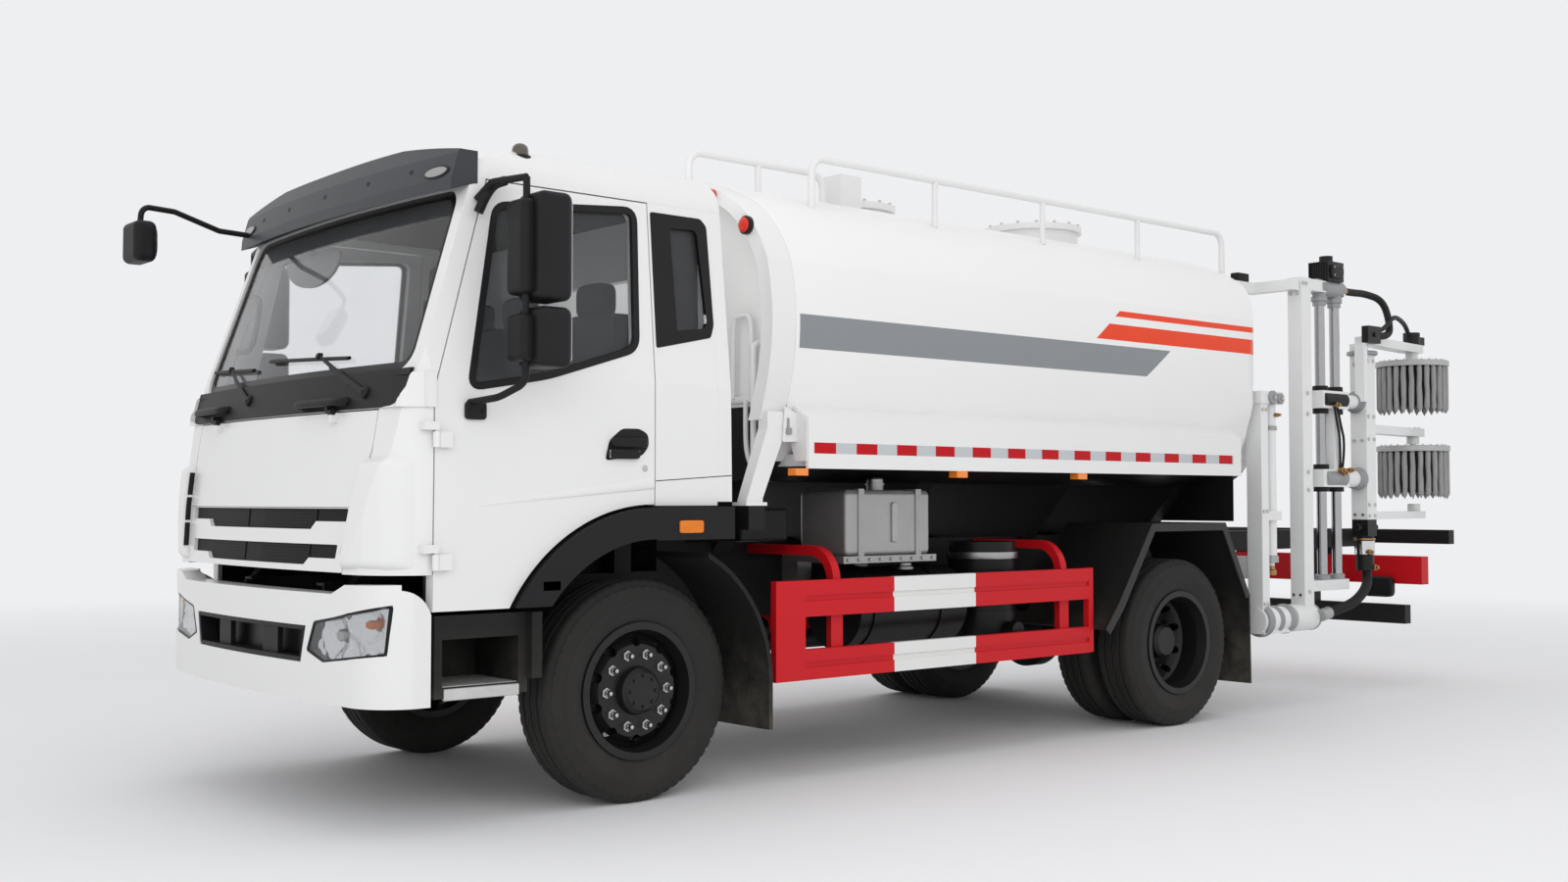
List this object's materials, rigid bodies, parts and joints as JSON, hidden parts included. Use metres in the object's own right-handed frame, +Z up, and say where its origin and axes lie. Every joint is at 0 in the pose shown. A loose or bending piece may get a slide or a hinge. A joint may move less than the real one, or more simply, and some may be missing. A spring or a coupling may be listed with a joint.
{
  "type": "guardrail cleaning truck",
  "caption": "Two-axle tanker truck with a tilting cab, a water tank and a rear side mast that carries two upright rotary brushes for washing roadside guardrails.",
  "frame": {"origin": "centre of the bounding box on the ground", "axes": "+X forward, +Y to the left side, +Z up"},
  "size_m": [9.17, 2.98, 3.22],
  "materials": {
    "white_paint": "gloss",
    "black_paint": "satin",
    "red_paint": "satin",
    "grey_paint": "satin",
    "silver_paint": "satin",
    "dark_plastic": "matte",
    "visor_plastic": "satin",
    "interior_plastic": "matte",
    "tyre_rubber": "matte",
    "wheel_steel": "satin",
    "cast_steel": "matte",
    "window_glass": "gloss",
    "lamp_clear": "gloss",
    "lamp_colour": "gloss",
    "chrome": "gloss",
    "motor_black": "satin",
    "bristle": "matte",
    "hose_rubber": "matte"
  },
  "bodies": {
    "chassis": {"frame_ladder": "black_paint", "sub_frame": "black_paint", "engine_block": "cast_steel", "front_axle": "black_paint", "rear_axle": "black_paint", "front_bumper": "white_paint", "headlamps": "lamp_clear", "front_wings": "dark_plastic", "fuel_tank": "black_paint", "oil_tank": "silver_paint", "exhaust_unit": "black_paint", "battery_and_reservoir": "black_paint", "side_guards": "red_paint", "rear_mudguards": "white_paint", "water_tank": "white_paint", "tank_skirts": "white_paint", "front_arch": "white_paint", "tank_top_fittings": "white_paint", "marker_lamps": "lamp_colour", "underrun_beam": "red_paint", "mast_post": "white_paint"},
    "knuckle_left": {"knuckle_left": "cast_steel"},
    "knuckle_right": {"knuckle_right": "cast_steel"},
    "wheel_fl": {"tyre_front_left": "tyre_rubber", "wheel_front_left": "wheel_steel"},
    "wheel_fr": {"tyre_front_right": "tyre_rubber", "wheel_front_right": "wheel_steel"},
    "wheel_rl": {"tyres_rear_left": "tyre_rubber", "wheels_rear_left": "wheel_steel"},
    "wheel_rr": {"tyres_rear_right": "tyre_rubber", "wheels_rear_right": "wheel_steel"},
    "cab": {"cab_front": "white_paint", "cab_roof": "white_paint", "cab_sides": "white_paint", "cab_rear_wall": "white_paint", "cab_floor": "dark_plastic", "cab_glass": "window_glass", "cab_trim": "dark_plastic", "sun_visor": "visor_plastic", "front_mirror": "dark_plastic", "cab_interior": "interior_plastic"},
    "door_left": {"door_left": "white_paint", "door_glass_left": "window_glass", "mirror_left": "dark_plastic"},
    "door_right": {"door_right": "white_paint", "door_glass_right": "window_glass", "mirror_right": "dark_plastic"},
    "front_lid": {"front_lid": "white_paint", "grille": "dark_plastic"},
    "mast": {"mast_column": "white_paint", "guide_rods": "chrome", "mast_motor": "motor_black", "rig_hose": "hose_rubber"},
    "carriage": {"lift_carriage": "grey_paint", "valve_block": "motor_black"},
    "head": {"brush_column": "white_paint", "brush_motors": "motor_black"},
    "brush_upper": {"brush_upper": "bristle"},
    "brush_lower": {"brush_lower": "bristle"}
  },
  "joints": [
    {"name": "steer_left", "type": "hinge", "parent": "chassis", "child": "knuckle_left", "pos_m": [2.945, 0.8, 0.506], "axis": [0, 0, 1], "range_deg": [-35, 35]},
    {"name": "steer_right", "type": "hinge", "parent": "chassis", "child": "knuckle_right", "pos_m": [2.945, -0.8, 0.506], "axis": [0, 0, 1], "range_deg": [-35, 35]},
    {"name": "spin_front_left", "type": "hinge", "parent": "knuckle_left", "child": "wheel_fl", "pos_m": [2.945, 0.947, 0.506], "axis": [0, 1, 0], "continuous": true},
    {"name": "spin_front_right", "type": "hinge", "parent": "knuckle_right", "child": "wheel_fr", "pos_m": [2.945, -0.947, 0.506], "axis": [0, 1, 0], "continuous": true},
    {"name": "spin_rear_left", "type": "hinge", "parent": "chassis", "child": "wheel_rl", "pos_m": [-1.005, 0.904, 0.506], "axis": [0, 1, 0], "continuous": true},
    {"name": "spin_rear_right", "type": "hinge", "parent": "chassis", "child": "wheel_rr", "pos_m": [-1.005, -0.904, 0.506], "axis": [0, 1, 0], "continuous": true},
    {"name": "cab_tilt", "type": "hinge", "parent": "chassis", "child": "cab", "pos_m": [4.185, 0, 0.86], "axis": [0, 1, 0], "range_deg": [0, 45]},
    {"name": "door_left_hinge", "type": "hinge", "parent": "cab", "child": "door_left", "pos_m": [4.046, 1.187, 1.4], "axis": [0, 0, -1], "range_deg": [0, 70]},
    {"name": "door_right_hinge", "type": "hinge", "parent": "cab", "child": "door_right", "pos_m": [4.046, -1.187, 1.4], "axis": [0, 0, 1], "range_deg": [0, 70]},
    {"name": "lid_hinge", "type": "hinge", "parent": "cab", "child": "front_lid", "pos_m": [4.243, 0, 1.745], "axis": [0, -1, 0], "range_deg": [0, 60]},
    {"name": "mast_tilt", "type": "hinge", "parent": "chassis", "child": "mast", "pos_m": [-2.385, 1.15, 0.59], "axis": [-1, 0, 0], "range_deg": [0, 80]},
    {"name": "lift", "type": "slide", "parent": "mast", "child": "carriage", "axis": [0, 0, 1], "range_m": [0, 0.45], "deforming": ["rig_hose"]},
    {"name": "head_tilt", "type": "hinge", "parent": "carriage", "child": "head", "pos_m": [-3.205, 1.15, 1.522], "axis": [1, 0, 0], "range_deg": [0, 80]},
    {"name": "spin_brush_upper", "type": "hinge", "parent": "head", "child": "brush_upper", "pos_m": [-4.135, 1.055, 2.2], "axis": [0, 0, 1], "continuous": true},
    {"name": "spin_brush_lower", "type": "hinge", "parent": "head", "child": "brush_lower", "pos_m": [-4.135, 1.055, 1.57], "axis": [0, 0, 1], "continuous": true}
  ],
  "couplings": [
    {"joint": "steer_right", "follows": "steer_left", "ratio": 1}
  ]
}
